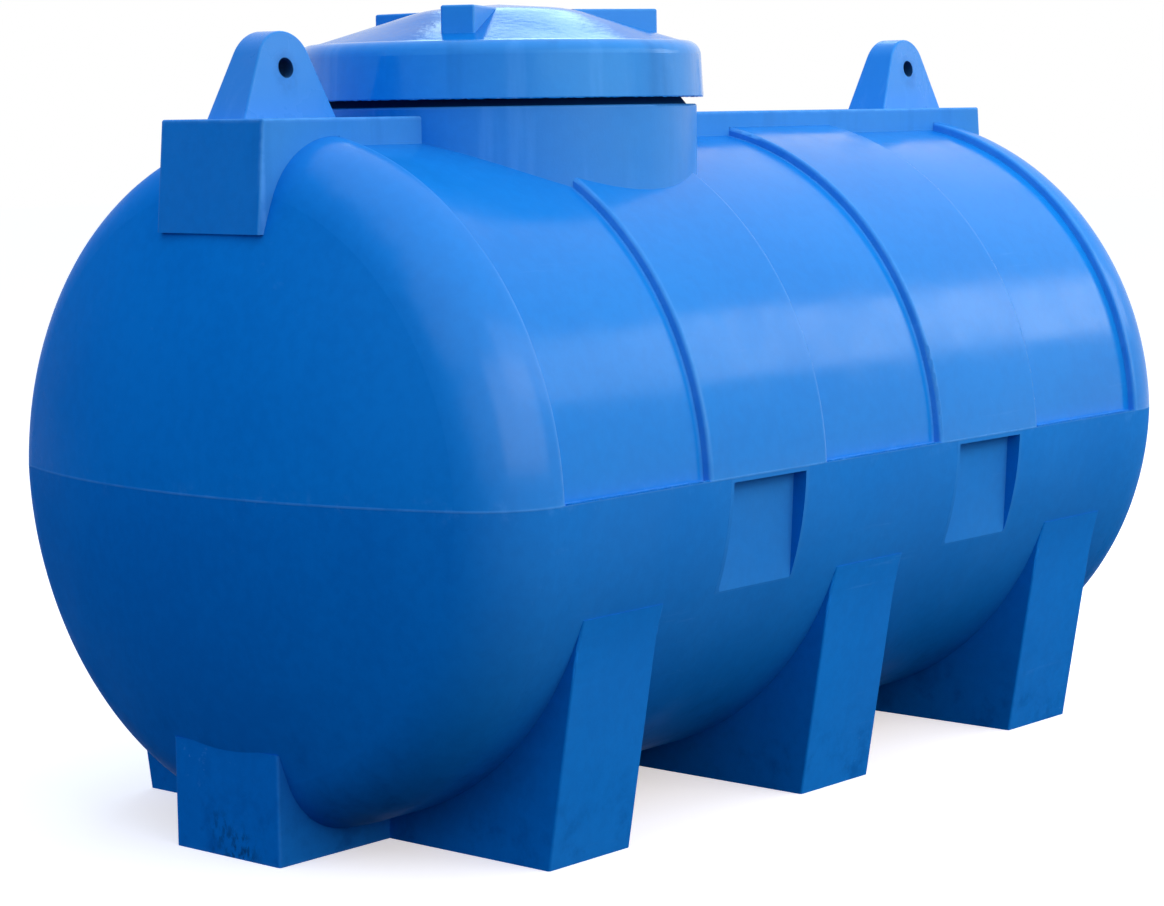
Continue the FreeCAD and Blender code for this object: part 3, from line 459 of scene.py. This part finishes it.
spine_marks = [
    (edge_group, SPINE_EDGE, "Mask", PALE_RUB_AND_SHEEN, 0.45, 0.08),
    (streak_group, {"Scale": 16.0}, "Dark", STAIN_AND_DARK_REFLECTION, 0.10, 0.04),
]
lug_marks = [
    (eye_group, {}, "Ring", STAIN_AND_DARK_REFLECTION, 0.26, 0.10),
    # Near-black in the eye's bore: painted shade.
    (eye_group, {}, "Bore", GRIME_AND_BORE_SHADE, 0.82, 0.60),
    (streak_group, {"Scale": 22.0}, "Pale", PALE_RUB_AND_SHEEN, 0.12, 0.04),
]
neck_marks = [
    (streak_group, {"Scale": 10.0}, "Dark", STAIN_AND_DARK_REFLECTION, 0.14, 0.05),
    (streak_group, {"Scale": 14.0}, "Pale", PALE_RUB_AND_SHEEN, 0.20, 0.05),
]
# Pale and dark upright streaks on the lid skirt: painted reflections of the surroundings.
skirt_painted_reflections = [
    (streak_group, {"Scale": 12.0}, "Pale", PALE_RUB_AND_SHEEN, 0.26, 0.02),
    (streak_group, {"Scale": 7.0}, "Dark", STAIN_AND_DARK_REFLECTION, 0.28, 0.02),
]
flash_marks = [
    (streak_group, {"Scale": 60.0}, "Pale", CHALK, 0.35, 0.05),
]

blue_plastic("shell_upper", PANEL_BLUE, PANEL_DEEP, 0.18, 0.27, SHELL_GLOSS, lit_side_paint=0.07, bump=0.05,
             marks=panel_marks)
blue_plastic("end_upper", SHELL_BLUE, DEEP_BLUE, 0.30, 0.004, PLAIN_GLOSS, lit_side_paint=0.20, bump=0.06, coat=0.42,
             marks=end_marks)
blue_plastic("shell_lower", LOWER_BLUE, LOWER_DEEP, 0.50, 0.005, PLAIN_GLOSS, lit_side_paint=0.20,
             marks=lower_marks)
blue_plastic("pocket_plastic", LOWER_BLUE, LOWER_DEEP, 0.50, 0.005, PLAIN_GLOSS, lit_side_paint=0.28,
             marks=lower_marks)
blue_plastic("foot_plastic", LOWER_BLUE, LOWER_DEEP, 0.50, 0.01, PLAIN_GLOSS, lit_side_paint=0.10, rubs=0.8,
             knocks=0.8, marks=foot_marks)
blue_plastic("spine_plastic", SHELL_BLUE, DEEP_BLUE, 0.44, 0.12, COOL_GLOSS, lit_side_paint=0.5, rubs=0.9,
             knocks=0.8, marks=spine_marks)
blue_plastic("lug_plastic", LUG_BLUE, SHELL_BLUE, 0.30, 0.24, PLAIN_GLOSS, lit_side_paint=0.35, rubs=0.9,
             knocks=0.8, marks=lug_marks)
blue_plastic("neck_plastic", SHELL_BLUE, DEEP_BLUE, 0.32, 0.17, PLAIN_GLOSS, lit_side_paint=0.50, rubs=0.8,
             marks=neck_marks)
blue_plastic("skirt_gloss", LID_BLUE, LID_DEEP, 0.16, 0.28, COOL_GLOSS, lit_side_paint=0.50, rubs=0.4, knocks=0.4,
             peel=0.25, waves=1.6, bump=0.16, depth=0.003, marks=skirt_painted_reflections)
blue_plastic("lid_gloss", LID_TOP_BLUE, DEEP_BLUE, 0.12, 0.04, PLAIN_GLOSS, rubs=0.4, knocks=0.4,
             peel=0.25, waves=2.2, bump=0.20, depth=0.003)
blue_plastic("grip_plastic", LID_BLUE, LID_DEEP, 0.30, 0.28, COOL_GLOSS, lit_side_paint=0.7, rubs=0.6)
# The collar's finish is the neck's plastic darkened to near black: painted shade under the lid.
blue_plastic("collar_painted_shade", COLLAR_PAINTED_SHADE, COLLAR_PAINTED_SHADE_DEEP, 0.55, 0.10, COOL_GLOSS, rubs=0.1, knocks=0.1)
blue_plastic("flash_plastic", SHELL_BLUE, DEEP_BLUE, 0.45, 0.20, COOL_GLOSS, rubs=1.0, knocks=1.0,
             marks=flash_marks)

FINISHES = {
    "shell_upper": ("panel", "band"),
    "end_upper": ("end_upper",),
    "shell_lower": ("end_lower", "lower_barrel"),
    "pocket_plastic": ("pocket",),
    "foot_plastic": ("saddle", "keel"),
    "spine_plastic": ("spine",),
    "lug_plastic": ("lug",),
    "neck_plastic": ("manway_neck",),
    "collar_painted_shade": ("neck_collar",),
    "lid_gloss": ("lid_top",),
    "skirt_gloss": ("lid_skirt",),
    "grip_plastic": ("lid_grip",),
}
for finish, words in FINISHES.items():
    for label, node in nodes.items():
        if any(word in label for word in words):
            node.data.materials.clear()
            node.data.materials.append(bpy.data.materials[finish])


# Moulding flash: thin ragged lips that trimming left on the seam ledge and on the lid's edge.

PANEL_RUNS = {"near": (-1.204, -0.704), "mid": (-0.240, 0.240), "far": (0.704, 1.204)}
SEAM_LIP_SIDE = 0.8474
SEAM_LIP_RISE = 0.0005
SEAM_LIP_HEIGHT = 0.003
SEAM_LIP_STEP = 0.006
SEAM_LIP_RAGGED = 0.0014
SEAM_LIP_THICKNESS = 0.0012
RIGHT_SEED = 3
LEFT_SEED = 13
LID_FOOT = 1.755
LID_LIP_RADIUS = 0.5115
LID_LIP_POINTS = 420
LID_LIP_OVERLAP = 0.001
LID_LIP_HEIGHT = 0.0035
LID_LIP_RAGGED = 0.0008
LID_LIP_THICKNESS = 0.0016
LID_SEED = 29
SMOOTH_BELOW = math.radians(40)


def finish_lip(lip, thickness, body):
    """Give a ragged strip its thickness and finish, and let it ride on a body."""
    solid = lip.modifiers.new("thickness", "SOLIDIFY")
    solid.thickness = thickness
    solid.offset = 0.0
    bpy.ops.object.modifier_apply(modifier=solid.name)
    bpy.ops.object.shade_smooth_by_angle(angle=SMOOTH_BELOW)
    lip.data.materials.append(bpy.data.materials["flash_plastic"])
    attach(lip, body)


def select_points(lip, wanted):
    """Select the points of a mesh that a test picks, and go on in edit mode."""
    bpy.ops.object.mode_set(mode="OBJECT")
    for point in lip.data.vertices:
        point.select = wanted(point.co)
    bpy.ops.object.mode_set(mode="EDIT")


def seam_flash(name, start, end, side, seed):
    """Ragged lip along the outer edge of the seam ledge, below one recessed panel."""
    length = end - start
    bpy.ops.object.select_all(action="DESELECT")
    middle = ((start + end) / 2, side * SEAM_LIP_SIDE, SEAM_HEIGHT + SEAM_LIP_RISE)
    bpy.ops.mesh.primitive_plane_add(size=1, location=middle, rotation=(math.pi / 2, 0, 0))
    lip = bpy.context.object
    lip.name = name
    lip.scale = (length, SEAM_LIP_HEIGHT, 1)
    bpy.ops.object.transform_apply(location=True, rotation=True, scale=True)
    bpy.ops.object.mode_set(mode="EDIT")
    bpy.ops.mesh.select_mode(type="EDGE")
    bpy.ops.object.mode_set(mode="OBJECT")
    for edge in lip.data.edges:
        first, second = (lip.data.vertices[index].co for index in edge.vertices)
        edge.select = abs(first.x - second.x) > length / 2
    bpy.ops.object.mode_set(mode="EDIT")
    bpy.ops.mesh.subdivide(number_cuts=int(length / SEAM_LIP_STEP))
    bpy.ops.mesh.select_mode(type="VERT")
    select_points(lip, lambda spot: spot.z > SEAM_HEIGHT + SEAM_LIP_RISE)
    bpy.ops.transform.vertex_random(offset=SEAM_LIP_RAGGED, uniform=1.0, normal=0.0, seed=seed)
    bpy.ops.object.mode_set(mode="OBJECT")
    finish_lip(lip, SEAM_LIP_THICKNESS, "tank")


def lid_flash(name, seed):
    """Ragged lip below the foot of the lid's skirt."""
    middle = (NECK_PLACE[0], NECK_PLACE[1], LID_FOOT + LID_LIP_OVERLAP)
    bpy.ops.object.select_all(action="DESELECT")
    bpy.ops.mesh.primitive_circle_add(vertices=LID_LIP_POINTS, radius=LID_LIP_RADIUS, fill_type="NOTHING",
                                      location=middle)
    lip = bpy.context.object
    lip.name = name
    bpy.ops.object.transform_apply(location=True, rotation=True, scale=True)
    bpy.ops.object.mode_set(mode="EDIT")
    bpy.ops.mesh.select_all(action="SELECT")
    bpy.ops.mesh.extrude_region_move(TRANSFORM_OT_translate={"value": (0, 0, -LID_LIP_HEIGHT)})
    bpy.ops.mesh.select_mode(type="VERT")
    select_points(lip, lambda spot: spot.z < LID_FOOT)
    bpy.ops.transform.vertex_random(offset=LID_LIP_RAGGED, uniform=1.0, normal=0.0, seed=seed)
    bpy.ops.mesh.select_all(action="SELECT")
    bpy.ops.mesh.normals_make_consistent(inside=False)
    bpy.ops.object.mode_set(mode="OBJECT")
    finish_lip(lip, LID_LIP_THICKNESS, "lid")


for turn, (panel, (start, end)) in enumerate(PANEL_RUNS.items()):
    seam_flash(panel + "_seam_flash_right", start, end, -1, RIGHT_SEED + turn)
    seam_flash(panel + "_seam_flash_left", start, end, 1, LEFT_SEED + turn)
lid_flash("lid_edge_flash", LID_SEED)


# Stage: pale floor, soft world, lamps and the camera.

FLOOR_SIZE = 80
FLOOR_PALE = (0.88, 0.80, 0.78, 1.0)
FLOOR_BOUNCE = (0.05, 0.055, 0.06, 1.0)
FLOOR_GLOW = (0.56, 0.53, 0.52, 1.0)
NO_GLOW = (0.0, 0.0, 0.0, 1.0)
DOME_LOW = (0.22, 0.36, 0.56, 1.0)
DOME_HIGH = (0.56, 0.70, 0.86, 1.0)
WHITE = (1.0, 1.0, 1.0, 1.0)
WARM_LIGHT = (1.0, 0.97, 0.88)
SKY_LIGHT = (0.58, 0.84, 1.0)
LID_LIGHT = (0.62, 0.95, 1.0)
END_LIGHT = (0.55, 0.76, 1.0)


def seen_directly(tree):
    """Share of rays that see the background: from the camera, in gloss and through glass."""
    path = tree.nodes.new("ShaderNodeLightPath")
    seen = math_node(tree, "ADD", path.outputs["Is Camera Ray"], path.outputs["Is Glossy Ray"], clamp=True)
    return math_node(tree, "ADD", seen, path.outputs["Is Transmission Ray"], clamp=True)


def make_floor():
    bpy.ops.object.select_all(action="DESELECT")
    bpy.ops.mesh.primitive_plane_add(size=FLOOR_SIZE, location=(0, 0, 0))
    floor = bpy.context.object
    floor.name = "floor"
    material, tree = new_material("pale_floor")
    shader = tree.nodes["Principled BSDF"]
    shader.inputs["Roughness"].default_value = 0.9
    shader.inputs["Specular IOR Level"].default_value = 0.0
    seen = seen_directly(tree)
    paint = mix_colour(tree, seen, FLOOR_BOUNCE, FLOOR_PALE)
    glow = mix_colour(tree, seen, NO_GLOW, FLOOR_GLOW)
    tree.links.new(paint, shader.inputs["Base Color"])
    tree.links.new(glow, shader.inputs["Emission Color"])
    shader.inputs["Emission Strength"].default_value = 1.0
    floor.data.materials.append(material)


def make_world():
    world = bpy.data.worlds.new("soft_dome")
    bpy.context.scene.world = world
    world.use_nodes = True
    tree = world.node_tree
    background = tree.nodes["Background"]
    direction = tree.nodes.new("ShaderNodeTexCoord").outputs["Generated"]
    rise = smooth_step(tree, split_axes(tree, direction)[2], -0.1, 0.9)
    dome = mix_colour(tree, rise, DOME_LOW, DOME_HIGH)
    colour = mix_colour(tree, seen_directly(tree), dome, WHITE)
    tree.links.new(colour, background.inputs["Color"])
    background.inputs["Strength"].default_value = 1.0


def add_lamp(name, place, aim, size, radiance, colour=WARM_LIGHT, in_gloss=True):
    """Rectangular soft box that faces a point; its power follows from its radiance and area."""
    data = bpy.data.lights.new(name, "AREA")
    data.shape = "RECTANGLE"
    data.size, data.size_y = size
    data.energy = radiance * math.pi * size[0] * size[1]
    data.color = colour
    lamp = bpy.data.objects.new(name, data)
    lamp.location = place
    lamp.rotation_euler = (Vector(aim) - Vector(place)).to_track_quat("-Z", "Y").to_euler()
    lamp.visible_camera = False
    lamp.visible_glossy = in_gloss
    bpy.context.scene.collection.objects.link(lamp)


def make_camera():
    """Camera fitted to the photograph: place in metres, angles in radians, focal length in image pixels."""
    place = (-5.972, -5.042, 1.724)
    yaw, pitch, roll = 0.8554, -0.1025, -0.0142
    focal, centre_x, centre_y = 2935.6, 583.2, 411.5
    wide, high = 1164, 906
    sensor = 36
    ahead = Vector((math.sin(yaw) * math.cos(pitch), math.cos(yaw) * math.cos(pitch), math.sin(pitch)))
    right = Vector((math.cos(yaw), -math.sin(yaw), 0))
    up = right.cross(ahead)
    across = right * math.cos(roll) + up * math.sin(roll)
    upward = up * math.cos(roll) - right * math.sin(roll)
    data = bpy.data.cameras.new("photo_camera")
    data.sensor_width = sensor
    data.lens = sensor * focal / wide
    data.shift_x = (wide / 2 - centre_x) / wide
    data.shift_y = (centre_y - high / 2) / wide
    camera = bpy.data.objects.new("photo_camera", data)
    turn = Matrix((across, upward, -ahead)).transposed().to_4x4()
    camera.matrix_world = Matrix.Translation(place) @ turn
    bpy.context.scene.collection.objects.link(camera)
    bpy.context.scene.camera = camera


make_floor()
make_world()
add_lamp("overhead_box", place=(4.0, -1.5, 7.5), aim=(4.0, -1.5, 0.0), size=(16.0, 13.0), radiance=0.60,
         colour=SKY_LIGHT, in_gloss=False)
add_lamp("lid_box", place=(6.13, 5.82, 6.36), aim=(-0.47, 0.0, 1.9), size=(2.25, 2.6), radiance=3.8,
         colour=LID_LIGHT)
add_lamp("key_box", place=(-0.3, -7.5, 3.75), aim=(0.0, 0.0, 1.2), size=(8.0, 4.4), radiance=2.25)
add_lamp("near_strip", place=(1.6, -3.85, 3.5), aim=(1.6, 0.0, 1.5), size=(5.6, 1.7), radiance=1.6)
add_lamp("far_strip", place=(7.2, -3.85, 3.7), aim=(7.2, 0.0, 1.7), size=(5.6, 1.9), radiance=2.7)
add_lamp("end_box", place=(-7.5, 0.5, 4.0), aim=(-1.5, 0.0, 1.0), size=(6.0, 4.0), radiance=0.8,
         colour=END_LIGHT)
make_camera()
bpy.context.scene.view_settings.view_transform = "Standard"
